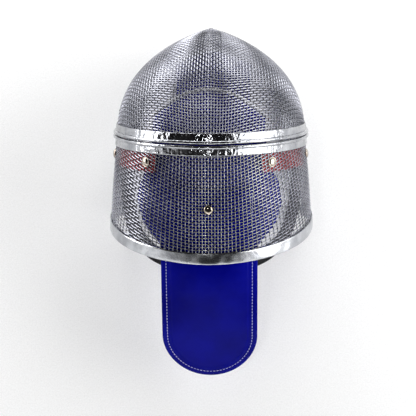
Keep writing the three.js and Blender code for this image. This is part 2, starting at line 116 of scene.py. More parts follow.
def offsetPoint(x, t, w, out):
    # point on the wire surface at x >= 0, moved out along its normal
    x, t, w, out = np.broadcast_arrays(x, t, w, out)
    normal = toWorld(localNormal(x, t, w))
    normal[..., 0] = np.where(x < 1e-4, 0, normal[..., 0])
    return place(x, t, w) + unit(normal) * out[..., None]


def floorT(w, up=0.0):
    # t at which the seam plane's line at w comes down to the height up above the floor
    return (mask["crownHeight"] - up + tiltCos * w) / tiltSin


def rimW(t):
    # rear edge: a straight line tilted from the seam plane, bent back as a square below rimTurn
    tilt = math.tan(math.radians(mask["rimTilt"]))
    return (-mask["backLength"] + (t - mask["crownFall"]) * tilt
            - mask["rimCurve"] * np.maximum(t - mask["rimTurn"], 0) ** 2)


def unit(v):
    # vectors divided by their lengths
    return v / np.maximum(np.linalg.norm(v, axis=-1, keepdims=True), 1e-9)


def pathLength(path):
    # distance along a path from its first point to each of its points
    return np.concatenate([[0], np.cumsum(np.linalg.norm(np.diff(path, axis=0), axis=1))])


def smooth(a, b, x):
    # eased step from 0 at a to 1 at b: 3 q^2 - 2 q^3
    q = np.clip((x - a) / (b - a), 0, 1)
    return q * q * (3 - 2 * q)


def changeMesh(mesh, change):
    # runs one bmesh operator on a mesh
    work = bmesh.new()
    work.from_mesh(mesh)
    change(work)
    work.to_mesh(mesh)
    work.free()


def newPiece(name, points, faces, material, node, uv=None, sharp=40.0, weld=0.0):
    # points, uv and weld in millimetres, sharp in degrees; faces is a list of index arrays, one row
    # for each face; material is the finish it takes and node the solid that it stands for
    points = np.asarray(points, float).reshape(-1, 3)
    mesh = bpy.data.meshes.new(name)
    loops = np.concatenate([f.reshape(-1) for f in faces]).astype(np.int32)
    sizes = np.concatenate([np.full(len(f), f.shape[1]) for f in faces])
    starts = np.concatenate([[0], np.cumsum(sizes)[:-1]]).astype(np.int32)
    mesh.vertices.add(len(points))
    mesh.vertices.foreach_set("co", (points * 0.001).astype(np.float32).ravel())
    mesh.loops.add(len(loops))
    mesh.loops.foreach_set("vertex_index", loops)
    mesh.polygons.add(len(starts))
    mesh.polygons.foreach_set("loop_start", starts)
    mesh.update(calc_edges=True)
    if uv is not None:
        layer = mesh.uv_layers.new(name="cloth")
        flat = (np.asarray(uv, float).reshape(-1, 2) * 0.001)[loops]
        layer.data.foreach_set("uv", flat.astype(np.float32).ravel())
    mesh.validate()
    if weld:
        changeMesh(mesh, lambda work: bmesh.ops.remove_doubles(work, verts=work.verts, dist=weld * 0.001))
    mesh.shade_smooth()
    mesh.set_sharp_from_angle(angle=math.radians(sharp))
    piece = bpy.data.objects.new(name, mesh)
    bpy.context.scene.collection.objects.link(piece)
    mesh.materials.append(material)
    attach(piece, "root")
    if node:
        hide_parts(node)
    return piece


def mirror(half):
    # right half from the middle (x = 0) outwards, with its left twin before it
    return np.concatenate([half[1:][::-1] * np.array([-1.0, 1, 1]), half])


def gridFaces(rows, columns, loopRows=False, loopColumns=False, base=0):
    # quads over a rows x columns block of points, facing rows-step x columns-step
    i = np.arange(rows if loopRows else rows - 1)[:, None]
    k = np.arange(columns if loopColumns else columns - 1)[None, :]
    i2, k2 = (i + 1) % rows, (k + 1) % columns
    quad = [i * columns + k, i2 * columns + k, i2 * columns + k2, i * columns + k2]
    return np.stack([np.broadcast_to(q, (i.size, k.size)) for q in quad], -1).reshape(-1, 4) + base


def sweep(rings, loop=False):
    # rings (n, m, 3) of closed sections; returns faces that face outwards, ends capped
    n, m = rings.shape[:2]
    faces = [gridFaces(n, m, loop, True)]
    if not loop:
        faces += [np.arange(m)[None, :], (n - 1) * m + np.arange(m)[::-1][None, :]]
    # signed volume by the divergence sum decides the way round
    q = faces[0]
    p = rings.reshape(-1, 3)
    a, b, c, d = (p[q[:, j]] for j in range(4))
    volume = (np.einsum("ij,ij->i", a, np.cross(b, c)) + np.einsum("ij,ij->i", a, np.cross(c, d))).sum()
    return [f[:, ::-1] for f in faces] if volume < 0 else faces


def linear(colour):
    # sRGB hex to linear RGBA: x / 12.92 where dark, ((x + 0.055) / 1.055)^2.4 elsewhere
    c = np.array([(colour >> s & 255) / 255 for s in (16, 8, 0)])
    c = np.where(c <= 0.04045, c / 12.92, ((c + 0.055) / 1.055) ** 2.4)
    return (*c.tolist(), 1.0)


def addNode(tree, kind, links=None, **settings):
    # one node: links are its inputs, as a socket to join or a value; settings are its attributes
    node = tree.nodes.new("ShaderNode" + kind)
    for name, value in settings.items():
        setattr(node, name, value)
    for socket, value in (links or {}).items():
        target = node.inputs[socket]
        if isinstance(value, bpy.types.NodeSocket):
            tree.links.new(value, target)
        else:
            target.default_value = value
    return node


def newMaterial(name, **values):
    # material with constants on the shader's own sockets, an underscore standing for a space
    material = bpy.data.materials.new(name)
    material.use_nodes = True
    tree = material.node_tree
    shader = tree.nodes["Principled BSDF"]
    for socket, value in values.items():
        shader.inputs[socket.replace("_", " ")].default_value = value
    return material, tree, shader


def colourBetween(tree, factor, low, high, start=0.0, end=1.0):
    # colour that runs from low to high as the factor runs from start to end
    ramp = addNode(tree, "ValToRGB", {"Fac": factor})
    ramp.color_ramp.elements[0].position, ramp.color_ramp.elements[1].position = start, end
    ramp.color_ramp.elements[0].color, ramp.color_ramp.elements[1].color = linear(low), linear(high)
    return ramp.outputs["Color"]


def remap(tree, value, low, high, start=0.0, end=1.0):
    # straight line from low at start to high at end
    node = addNode(tree, "MapRange", {"Value": value, "From Min": start, "From Max": end,
                                      "To Min": low, "To Max": high})
    return node.outputs["Result"]


def bumpOn(tree, shader, height, depth, before=None):
    # relief of the height pattern, depth in metres, on top of an earlier relief if there is one
    links = {"Height": height, "Distance": depth, "Strength": 1.0}
    if before is not None:
        links["Normal"] = before
    bump = addNode(tree, "Bump", links)
    tree.links.new(bump.outputs["Normal"], shader.inputs["Normal"])
    return bump.outputs["Normal"]


def every(size):
    # cells or turns in a metre for one feature in this many millimetres
    return 1000.0 / size


def bandScale(size):
    # wave scale for bands this many millimetres apart: the node turns 20 radians a unit
    return 2 * math.pi * every(size) / 20.0


def steelWire():
    # drawn stainless wire, annealed and tumbled: satin grey with soft bright lines, a little darker
    # in patches where it has been handled; the drawing grain is shown ten times as coarse
    material, tree, shader = newMaterial("drawn_stainless_wire", Metallic=1.0)
    spot = addNode(tree, "TexCoord").outputs["Object"]
    patch = addNode(tree, "TexNoise", {"Vector": spot, "Scale": every(29.41), "Detail": 3.0}).outputs["Fac"]
    grain = addNode(tree, "TexNoise", {"Vector": spot, "Scale": every(1.111), "Detail": 2.0}).outputs["Fac"]
    tree.links.new(colourBetween(tree, patch, 0x787981, 0xa9aab2, 0.3, 0.7), shader.inputs["Base Color"])
    tree.links.new(remap(tree, grain, 0.1, 0.22, 0.3, 0.7), shader.inputs["Roughness"])
    bumpOn(tree, shader, grain, 0.00002)
    return material


def mirrorStrip(name, low, high, rough, dent):
    # nickel-plated strip folded over the wire ends by hand: a mirror broken by dents a few
    # millimetres apart, with cloudier stretches; dent is their depth in metres
    material, tree, shader = newMaterial(name, Metallic=1.0)
    spot = addNode(tree, "TexCoord").outputs["Object"]
    dents = addNode(tree, "TexNoise", {"Vector": spot, "Scale": every(4.348), "Detail": 2.0}).outputs["Fac"]
    haze = addNode(tree, "TexNoise", {"Vector": spot, "Scale": every(16.67), "Detail": 4.0}).outputs["Fac"]
    tree.links.new(colourBetween(tree, haze, low, high, 0.35, 0.65), shader.inputs["Base Color"])
    tree.links.new(remap(tree, haze, rough, rough + 0.12, 0.4, 0.7), shader.inputs["Roughness"])
    bumpOn(tree, shader, dents, dent)
    return material


def rivetNickel():
    # turned and nickel-plated rivet head: nearly a mirror, faintly warm, dulled in spots
    material, tree, shader = newMaterial("plated_rivet_head", Metallic=1.0)
    spot = addNode(tree, "TexCoord").outputs["Object"]
    wear = addNode(tree, "TexNoise", {"Vector": spot, "Scale": every(2.381), "Detail": 3.0}).outputs["Fac"]
    tree.links.new(colourBetween(tree, wear, 0x8f857b, 0xbab0a6, 0.35, 0.65), shader.inputs["Base Color"])
    tree.links.new(remap(tree, wear, 0.08, 0.16, 0.35, 0.7), shader.inputs["Roughness"])
    return material


def wovenCloth(name, dark, light, thread, rough, depth, sheen=0.0):
    # plain woven cotton: two crossed ribs on the piece's own cloth map, matt, with painted shade in the
    # hollows between the ribs, and unevenly dyed; thread is in millimetres and depth in metres
    material, tree, shader = newMaterial(name, Roughness=rough, Sheen_Weight=sheen, Sheen_Roughness=0.4,
                                         Specular_IOR_Level=0.2)
    cloth = addNode(tree, "TexCoord").outputs["UV"]
    across, along = (addNode(tree, "TexWave", {"Vector": cloth, "Scale": bandScale(thread),
                                               "Distortion": 0.4, "Detail": 1.0},
                             bands_direction=way).outputs["Fac"] for way in "XY")
    weave = addNode(tree, "Math", {0: across, 1: along}, operation="MULTIPLY").outputs[0]
    spot = addNode(tree, "TexCoord").outputs["Object"]
    patch = addNode(tree, "TexNoise", {"Vector": spot, "Scale": every(22.22), "Detail": 4.0}).outputs["Fac"]
    # painted shade in the weave's hollows, multiplied by the uneven dye
    hollowShadeAndDye = addNode(tree, "Math", {0: weave, 1: patch}, operation="MULTIPLY").outputs[0]
    tree.links.new(colourBetween(tree, hollowShadeAndDye, dark, light, 0.0, 0.5), shader.inputs["Base Color"])
    bumpOn(tree, shader, weave, depth)
    return material


def coatedVinyl():
    # vinyl-coated cloth: deep royal blue, smooth, with a fine pebble, and slow waves from what is
    # under it that bend its soft reflections
    material, tree, shader = newMaterial("coated_vinyl_cloth", Specular_IOR_Level=0.03)
    spot = addNode(tree, "TexCoord").outputs["Object"]
    pebble = addNode(tree, "TexVoronoi", {"Vector": spot, "Scale": every(0.7692)}).outputs["Distance"]
    cloud = addNode(tree, "TexNoise", {"Vector": spot, "Scale": every(38.46), "Detail": 5.0}).outputs["Fac"]
    tree.links.new(colourBetween(tree, cloud, 0x02036a, 0x060a86, 0.3, 0.7), shader.inputs["Base Color"])
    tree.links.new(remap(tree, cloud, 0.1, 0.16, 0.35, 0.65), shader.inputs["Roughness"])
    waves = bumpOn(tree, shader, cloud, 0.0012)
    bumpOn(tree, shader, pebble, 0.00003, waves)
    return material


def ribbedWebbing(name, dark, light, rib, rough):
    # narrow woven tape: ribs across its width, rib in millimetres, with a soft fibre sheen, painted
    # shade between the ribs, and the tone of single fibres
    material, tree, shader = newMaterial(name, Roughness=rough, Sheen_Weight=0.3, Sheen_Roughness=0.35)
    cloth = addNode(tree, "TexCoord").outputs["UV"]
    ribs = addNode(tree, "TexWave", {"Vector": cloth, "Scale": bandScale(rib), "Distortion": 0.6,
                                     "Detail": 2.0, "Detail Scale": 3.0}, bands_direction="X").outputs["Fac"]
    fibre = addNode(tree, "TexNoise", {"Vector": cloth, "Scale": every(0.6667),
                                       "Detail": 2.0}).outputs["Fac"]
    ribShadeAndFibreTone = addNode(tree, "Math", {0: ribs, 1: fibre}, operation="MULTIPLY").outputs[0]
    # colour darker between the ribs is painted shade; the fibre noise is the tape's own tone
    tree.links.new(colourBetween(tree, ribShadeAndFibreTone, dark, light, 0.05, 0.6), shader.inputs["Base Color"])
    bumpOn(tree, shader, ribShadeAndFibreTone, 0.00025)
    return material


def whitePiping():
    # white vinyl-covered cord: smooth and slightly soiled in patches
    material, tree, shader = newMaterial("white_vinyl_piping", Roughness=0.42)
    spot = addNode(tree, "TexCoord").outputs["Object"]
    soil = addNode(tree, "TexNoise", {"Vector": spot, "Scale": every(8.333), "Detail": 4.0}).outputs["Fac"]
    tree.links.new(colourBetween(tree, soil, 0xd2d2d4, 0xf0f0f0, 0.35, 0.6), shader.inputs["Base Color"])
    bumpOn(tree, shader, soil, 0.0002)
    return material


def sewingThread():
    # twisted polyester thread: pale lavender against the blue, with painted highlight and shade for the
    # twist
    material, tree, shader = newMaterial("polyester_thread", Roughness=0.5, Sheen_Weight=0.3)
    spot = addNode(tree, "TexCoord").outputs["Object"]
    twistReliefAndShade = addNode(tree, "TexNoise", {"Vector": spot, "Scale": every(0.3846), "Detail": 1.0}).outputs["Fac"]
    # the twist's highlight and shade are painted into the colour; the same noise gives its relief
    tree.links.new(colourBetween(tree, twistReliefAndShade, 0x8f93cc, 0xd9dcf2, 0.3, 0.7), shader.inputs["Base Color"])
    bumpOn(tree, shader, twistReliefAndShade, 0.00008)
    return material


wireSteel = steelWire()
bandNickel = mirrorStrip("crimped_nickel_strip", 0x8c8e93, 0xb6b7bb, 0.09, 0.0007)
bindingNickel = mirrorStrip("bright_edge_binding", 0xa0a2a7, 0xccced2, 0.2, 0.00012)
rivetMetal = rivetNickel()
# threads of 0.9 and ribs of 1.4 mm are too fine to show here, so they are about twice as coarse
padCloth = wovenCloth("blue_cotton_duck", 0x02055c, 0x0c12b4, 1.8, 0.85, 0.00012, 0.04)
redWebbing = ribbedWebbing("red_woven_webbing", 0x8a1018, 0xd0343a, 2.4, 0.75)
blackElastic = ribbedWebbing("black_ribbed_elastic", 0x08080a, 0x26262b, 2.0, 0.8)
pipingVinyl = whitePiping()
tongueVinyl = coatedVinyl()
threadPale = sewingThread()
print("materials made")

# The sheet is woven square and then pressed into the bowl, so its wires start square on the crown
# and shear towards the sides. In the face the down wires open out from column openFrom on, and
# the cross wires rise between riseFrom and riseTo from the middle, so spare rows start above it.
weave = {"pitch": 3.1, "radius": 0.54, "lift": 0.55, "sides": 6, "poleDown": 80.0, "profile": 350.0,
         "directions": 121, "steps": 120, "columns": 60, "spare": 11, "under": 2.2, "floorGap": 3.0,
         "rimGap": 3.0, "open": 0.5, "openFrom": 8.0, "rise": 34.0, "riseFrom": 8.0, "riseTo": 95.0}


def circle(sides, first, second):
    # points of a unit circle: cos(turn) * first + sin(turn) * second
    turn = (np.arange(sides) / sides * 2 * math.pi)[:, None]
    return np.cos(turn) * first[..., None, :] + np.sin(turn) * second[..., None, :]


def between(table, a, b):
    # value at the fractional place (a, b) of a table, mixed straight between its four neighbours
    a0 = np.minimum(a.astype(int), table.shape[0] - 2)
    b0 = np.minimum(b.astype(int), table.shape[1] - 2)
    fa, fb = a - a0, b - b0
    if table.ndim > 2:
        fa, fb = fa[..., None], fb[..., None]
    return (table[a0, b0] * (1 - fa) * (1 - fb) + table[a0 + 1, b0] * fa * (1 - fb)
            + table[a0, b0 + 1] * (1 - fa) * fb + table[a0 + 1, b0 + 1] * fa * fb)


def surfaceStep(p, bowl, rounds):
    # Newton steps along the gradient onto meshValue = 1; gives the points and their directions out
    h = 0.02
    for _ in range(rounds):
        x, t, w = p[..., 0], p[..., 1], p[..., 2]
        hx = np.where(x < 0, -h, h)
        value = meshValue(x, t, w, bowl)
        g = np.stack([(meshValue(x + hx, t, w, bowl) - value) / hx,
                      (meshValue(x, t + h, w, bowl) - value) / h,
                      (meshValue(x, t, w + h, bowl) - value) / h], -1)
        p = p - g * ((value - 1) / np.maximum((g ** 2).sum(-1), 1e-9))[..., None]
    return p, unit(g)


def ridgeLine(bowl):
    # profile of the face at x = 0 from the seam over the front to the chin, and its arc length:
    # t is crownReach less or plus reach * sqrt(1 - (pinch / (half + pinch))^power - depth^2)
    w = np.linspace(0, mask["frontDepth"], 3000)
    depth, pinch, power, half, top = archAt(w, bowl)
    left = 1 - (pinch / (half + pinch)) ** power - depth ** 2
    w, root, top = w[left > 0], np.sqrt(left[left > 0]), top[left > 0]
    upper = np.stack([0 * w, mask["crownReach"] - top * root, w], -1)
    lower = np.stack([0 * w, mask["crownReach"] + mask["jawReach"] * root, w], -1)[::-1]
    line = np.concatenate([upper, lower])
    return line, pathLength(line)


def frontNodes():
    # crossing (i, j) lies hypot(aside, ahead) pitches from a pole on the ridge, along the
    # straightest line that leaves it at the angle of (aside, ahead), which are i and j with the
    # sides opened and raised; found on the bowl without its ridge and dropped onto the ridged one
    pitch = weave["pitch"]
    line, run = ridgeLine(plainBowl)
    start, further = (np.array([np.interp(weave["poleDown"] + more, run, line[:, k]) for k in range(3)])
                      for more in (0, 1))
    down, across = unit(further - start), np.array([1.0, 0, 0])
    angle = np.linspace(0, math.pi, weave["directions"])
    heading = np.cos(angle)[:, None] * down + np.sin(angle)[:, None] * across
    p = np.repeat(start[None], len(angle), 0) + np.array([1e-3, 0, 0])
    paths = [p]
    for _ in range(weave["steps"]):
        _, normal = surfaceStep(p, plainBowl, 1)
        heading = unit(heading - normal * (heading * normal).sum(-1, keepdims=True))
        q, _ = surfaceStep(p + heading * pitch, plainBowl, 2)
        q, _ = surfaceStep(p + unit(q - p) * pitch, plainBowl, 1)
        q[:, 0] = np.maximum(q[:, 0], 1e-3)
        heading, p = unit(q - p), q
        paths.append(p)
    paths = np.array(paths).transpose(1, 0, 2)
    above, below = weave["poleDown"] / pitch, (weave["profile"] - weave["poleDown"]) / pitch
    rows = np.arange(-int(above) - weave["spare"], int(below) + 1)
    i, j = np.meshgrid(np.arange(weave["columns"]), rows, indexing="ij")
    aside = i + weave["open"] * np.maximum(i - weave["openFrom"], 0) ** 2 / (i + weave["openFrom"])
    ahead = j + weave["rise"] / pitch * smooth(weave["riseFrom"], weave["riseTo"], i * pitch)
    far = np.hypot(aside, ahead)
    net = between(paths, np.arctan2(aside, ahead) / math.pi * (len(angle) - 1),
                  np.minimum(far, paths.shape[1] - 1.001))
    net, _ = surfaceStep(net, mask, 7)
    line, run = ridgeLine(mask)
    down = weave["poleDown"] + rows * pitch
    net[0] = np.stack([np.interp(down, run, line[:, k]) for k in range(3)], -1)
    net[0][down < 0] = np.outer(down[down < 0], [0, 0, 1.0])
    height = place(net[..., 0], net[..., 1], net[..., 2])[..., 2]
    used = (net[..., 2] > weave["under"]) & (height > weave["floorGap"]) & (far < weave["steps"] - 1)
    return net, used


# In the back the down wires open out between openFrom and openTo from the middle and lean outwards
# by lean and then by dive, and the cross wires rise to the seam; arches from first to last are tabled
backWeave = {"columns": 112, "rows": 58, "open": 0.6, "openFrom": 22.0, "openTo": 75.0,
             "lean": 0.26, "leanFrom": 8.0, "leanTo": 95.0, "dive": 0.55, "diveFrom": 60.0, "diveTo": 150.0,
             "rise": 40.0, "riseFrom": 12.0, "riseTo": 120.0, "arches": 64, "first": 12.0, "last": -140.0,
             "round": 200, "wall": 170, "longest": 415.0, "lowest": 165.0, "tabled": 440, "spacing": 0.5}


def backNodes():
    # crossing (u, v): u pitches round the arch and v pitches back from the seam, moved as above;
    # its t is read off a table of arc length round each arch, and its x is sideX of that
    bw, pitch = backWeave, weave["pitch"]
    u = np.arange(bw["columns"])[:, None] * pitch
    v = np.arange(bw["rows"])[None, :] * pitch
    lean = (bw["lean"] * smooth(bw["leanFrom"], bw["leanTo"], u)
            + bw["dive"] * smooth(bw["diveFrom"], bw["diveTo"], u))
    over, reach = u - bw["openFrom"], bw["openTo"] - bw["openFrom"]
    wider = np.where(over < reach, np.maximum(over, 0) ** 2 / (2 * reach), over - reach / 2)
    w = -v + bw["rise"] * smooth(bw["riseFrom"], bw["riseTo"], u)
    run = u + bw["open"] * wider - lean * w
    arches = np.linspace(bw["first"], bw["last"], bw["arches"])[:, None]
    roof = mask["crownReach"] - archAt(arches)[4] * np.cos(np.linspace(0, math.pi / 2, bw["round"]))
    wall = mask["crownReach"] + np.arange(1.0, bw["wall"] + 1)
    levels = np.concatenate([roof, np.broadcast_to(wall, (bw["arches"], wall.size))], 1)
    wide = sideX(levels, np.minimum(arches, 0))
    wide[:, 0] = 0
    even = np.linspace(0, bw["tabled"], int(bw["tabled"] / bw["spacing"]) + 1)
    table = np.stack([np.interp(even, pathLength(np.stack([x, t], -1)), t)
                      for x, t in zip(wide, levels)])
    share = (bw["first"] - w) / (bw["first"] - bw["last"])
    t = between(table, np.clip(share * (bw["arches"] - 1), 0, bw["arches"] - 1.001),
                np.clip(run / bw["spacing"], 0, even.size - 1.001))
    x = np.where(u > 0, sideX(t, np.minimum(w, 0)), 0)
    height = place(x, t, w)[..., 2]
    used = ((w < -weave["under"]) & (height > weave["floorGap"]) & (w > rimW(t) + weave["rimGap"])
            & (run < bw["longest"]) & (t < mask["crownReach"] + bw["lowest"]))
    return np.stack([x, t, w], -1), used


def wirePiece(name, node, points, normals, used, over):
    # one round wire along each row of crossings, over and under the crossing wires by turns
    sides = weave["sides"]
    p = points + normals * (over * weave["lift"])[..., None]
    has = used & (np.pad(used, ((0, 0), (1, 0)))[:, :-1] | np.pad(used, ((0, 0), (0, 1)))[:, 1:])
    before = np.pad(has, ((0, 0), (1, 0)))[:, :-1]
    after = np.pad(has, ((0, 0), (0, 1)))[:, 1:]
    prior = np.where(before[..., None], np.roll(p, 1, 1), p)
    following = np.where(after[..., None], np.roll(p, -1, 1), p)
    tangent = unit(following - prior)
    side = unit(np.cross(tangent, normals))
    rings = p[:, :, None] + weave["radius"] * circle(sides, np.cross(side, tangent), side)
    number = np.cumsum(has.ravel()).reshape(has.shape) - 1
    joined = has[:, :-1] & has[:, 1:]
    here, there = (part[joined][:, None] * sides for part in (number[:, :-1], number[:, 1:]))
    k = np.arange(sides)
    k2 = (k + 1) % sides
    quads = np.stack([here + k, here + k2, there + k2, there + k], -1).reshape(-1, 4)
    first = number[has & ~before][:, None] * sides + k[::-1]
    last = number[has & ~after][:, None] * sides + k
    return newPiece(name, rings[has], [quads, first, last], wireSteel, node, sharp=75)


def wovenSheet(name, node, net, used):
    # mirrors the crossings, stands them in place, and makes the down and the across wires
    net, used = mirror(net), np.concatenate([used[1:][::-1], used])
    x, t, w = net[..., 0], net[..., 1], net[..., 2]
    normal = toWorld(localNormal(np.abs(x), t, w))
    normal[..., 0] *= np.sign(x)
    i, j = np.indices(used.shape)
    over = np.where((i + j) % 2 == 0, 1.0, -1.0)
    sheet = place(x, t, w), unit(normal), used, over
    down = wirePiece(name + "_wires_down", node, *sheet)
    turned = [np.swapaxes(values, 0, 1) for values in sheet[:3]]
    across = wirePiece(name + "_wires_across", node, *turned, -over.T)
    print(name, "wires:", len(down.data.polygons) + len(across.data.polygons), "faces")


wovenSheet("front", "front_basket", *frontNodes())
wovenSheet("back", "back_basket", *backNodes())

# each seam band is a flat strip on the wire with a rolled lip at the seam; dent is its hand marks
band = {"wide": 11.0, "strip": 1.95, "under": 1.2, "inner": 0.5, "lipAt": 2.25, "lipRadius": 1.75,
        "lipHeight": 3.0, "stripFrom": 4.3, "stations": 620, "footHeight": 10.8,
        "dent": 0.3, "dentWaves": 14}


def seamBand(side, name, node):
    # section (distance from the seam, height over the wire) carried round the seam arch
    turn = np.linspace(math.pi, 0, 9)
    lip = np.stack([band["lipAt"] + band["lipRadius"] * np.cos(turn),
                    band["lipHeight"] + band["lipRadius"] * np.sin(turn)], -1)
    flats = np.linspace(band["stripFrom"], band["wide"] - 0.6, 11)
    strip = np.stack([flats, band["strip"] + 0 * flats], -1)
    edge = [(band["wide"] - 0.2, band["strip"] - 0.15), (band["wide"], band["strip"] - 0.5),
            (band["wide"] - 0.1, band["under"]), (5.0, band["under"])]
    section = np.concatenate([[(band["inner"], band["under"])], lip, strip, edge])
    v, out = section[:, 0][None, :], section[:, 1][None, :]
    w = v * side
    # stations down one half: even turns over the crown, then even steps down to the foot
    quarter = band["stations"] // 4
    depth, pinch, power, half, top = archAt(w)
    room = np.sqrt(1 - depth ** 2 - (pinch / (half + pinch)) ** power)
    crown = mask["crownReach"] - np.cos(np.linspace(0, math.pi / 2, quarter))[:, None] * top * room
    low = floorT(w, band["footHeight"])
    share = np.linspace(0, 1, quarter + 1)[1:, None]
    t = np.concatenate([crown, mask["crownReach"] + share * (low - mask["crownReach"])])
    w = np.broadcast_to(w, t.shape)
    x = sideX(t, w)
    x[0] = 0
    # dents: a sum of waves of random length along and across the strip's upper face, whose phase
    # along it starts at the crown's distance from the floor's middle
    flat = ((section[:, 0] > band["stripFrom"] - 0.1) & (section[:, 1] > 1.6)).astype(float)[None, :]
    random = np.random.default_rng(5 if side > 0 else 6)
    line = place(x, t, w)[:, 14]
    run = (np.linalg.norm(line[0]) + pathLength(line))[:, None]
    dents = np.zeros(t.shape)
    for _ in range(band["dentWaves"]):
        along, across = random.uniform(2.8, 14), random.uniform(9, 60)
        strength, phase = random.uniform(0.4, 1), random.uniform(0, 6.28)
        dents = dents + strength * np.sin(run * 2 * math.pi / along + v * 2 * math.pi / across + phase)
    right = offsetPoint(x, t, w, out + dents / 5 * band["dent"] * flat)
    rings = mirror(right)
    newPiece(name, rings, sweep(rings), bandNickel, node, sharp=50)


seamBand(1, "front_rolled_band", "front_seam_band")
seamBand(-1, "back_rolled_band", "back_seam_band")
print("seam bands made")

# the edge binding is a bar folded over the wire, low below its edge and tall above it
binding = {"thick": 4.4, "tall": 10.5, "low": -1.5, "round": 1.3, "step": 2.4, "wobble": 0.12, "waves": 10}


def cornerCurve(steps):
    # quadratic curve from the rear edge into the flat jaw edge, cornerRound to each side
    t = 200.0
    for _ in range(30):
        t = float(floorT(rimW(t)))
    corner = np.array([t, float(rimW(t))])
    up = unit(np.array([-1.0, float(rimW(t - 1) - rimW(t))]))
    a = corner + up * mask["cornerRound"]
    b = corner + np.array([tiltCos, tiltSin]) * mask["cornerRound"]
    q = np.linspace(0, 1, steps)[:, None]
    return (1 - q) ** 2 * a + 2 * q * (1 - q) * corner + q ** 2 * b


def edgeRoute():
    # rear edge from the crown, round the corner, along the floor to the chin, evenly spaced
    corner = cornerCurve(24)
    t = mask["crownFall"] + (corner[0, 0] - mask["crownFall"]) * np.linspace(0, 1, 400)[:-1] ** 2
    rear = np.stack([t, rimW(t)], -1)
    w = np.linspace(mask["frontDepth"], 0, 4000)
    chin = w[np.argmax(meshValue(0 * w, floorT(w), w) <= 1)]
    w = chin - (chin - corner[-1, 1]) * (1 - np.linspace(0, 1, 500)) ** 2
    jaw = np.stack([floorT(w), w], -1)[1:]
    route = np.concatenate([rear, corner, jaw])
    x = sideX(route[:, 0], route[:, 1])
    x[0] = x[-1] = 0
    run = pathLength(place(x, route[:, 0], route[:, 1]))
    even = np.linspace(0, run[-1], int(run[-1] / binding["step"]))
    return tuple(np.interp(even, run, values) for values in (x, route[:, 0], route[:, 1]))


def bindingSection():
    # (out of the wire, in from its edge): rounded fold, side wall, crimped lip, side wall
    half, tall, low, r = binding["thick"] / 2, binding["tall"], binding["low"], binding["round"]
    turn = np.linspace(0, math.pi / 2, 5)
    fold1 = np.stack([half - r + r * np.cos(turn), low + r - r * np.sin(turn)], -1)
    fold2 = np.stack([-half + r - r * np.sin(turn), low + r - r * np.cos(turn)], -1)
    wall = np.linspace(2, tall - 1.2, 6)
    lip = [(-half, tall - 0.5), (-half + 0.5, tall), (-0.8, tall - 0.3), (0.8, tall - 0.3),
           (half - 0.5, tall), (half, tall - 0.5)]
    return np.concatenate([fold1, fold2, np.stack([-half + 0 * wall, wall], -1), lip,
                           np.stack([half + 0 * wall, wall[::-1]], -1)])


def edgeBinding():
    # the section carried once round the opening; its outward direction is the wire's own normal,
    # squared to the path and evened where the walls turn quickly
    x, t, w = edgeRoute()
    at = place(x, t, w)
    out = toWorld(localNormal(x, t, w))
    out[[0, -1], 0] = 0
    at, out = (np.concatenate([q, q[1:-1][::-1] * np.array([-1.0, 1, 1])]) for q in (at, out))
    along = unit(np.roll(at, -1, 0) - np.roll(at, 1, 0))
    out = unit(out - along * (out * along).sum(-1, keepdims=True))
    for _ in range(6):
        out = unit(out + 0.5 * (np.roll(out, 1, 0) + np.roll(out, -1, 0)))
        out = unit(out - along * (out * along).sum(-1, keepdims=True))
    into = np.cross(along, out)
    section = bindingSection()
    # wobble: whole waves round the opening, so that the bar closes on itself
    random = np.random.default_rng(11)
    run = np.arange(len(at))[:, None] * binding["step"]
    wobble = np.zeros((len(at), len(section)))
    for _ in range(binding["waves"]):
        waves = max(1, round(run[-1, 0] / random.uniform(9, 45)))
        slant, phase = random.uniform(0, 0.5), random.uniform(0, 6.28)
        wobble = wobble + np.sin(run / run[-1, 0] * 2 * math.pi * waves + section[:, 1] * slant + phase)
    swell = section[:, 0] + np.sign(section[:, 0]) * wobble / 3 * binding["wobble"]
    rings = at[:, None] + out[:, None] * swell[..., None] + into[:, None] * section[None, :, 1:2]
    rings[..., 2] = np.maximum(rings[..., 2], 0.0)
    newPiece("folded_edge_binding", rings, sweep(rings, loop=True), bindingNickel,
             "edge_binding", sharp=50)


edgeBinding()
print("edge binding made")

# rivets: washer, domed head over base, and an end clenched inside
rivet = {"radius": 5.0, "dome": 1.6, "base": 1.25, "inner": 3.6, "shank": 1.5, "around": 40}
rivetSpots = {  # side, arch angle, distance behind the seam, inner end
    "rivet_centre": (0, 0.0, -64.0, -8.4), "rivet_left": (-1, 0.7, -20.0, -3.4),
    "rivet_right": (1, 0.7, -20.0, -3.4), "rivet_side_left": (-1, 1.42, -20.0, -3.4),
    "rivet_side_right": (1, 1.42, -20.0, -3.4),
}


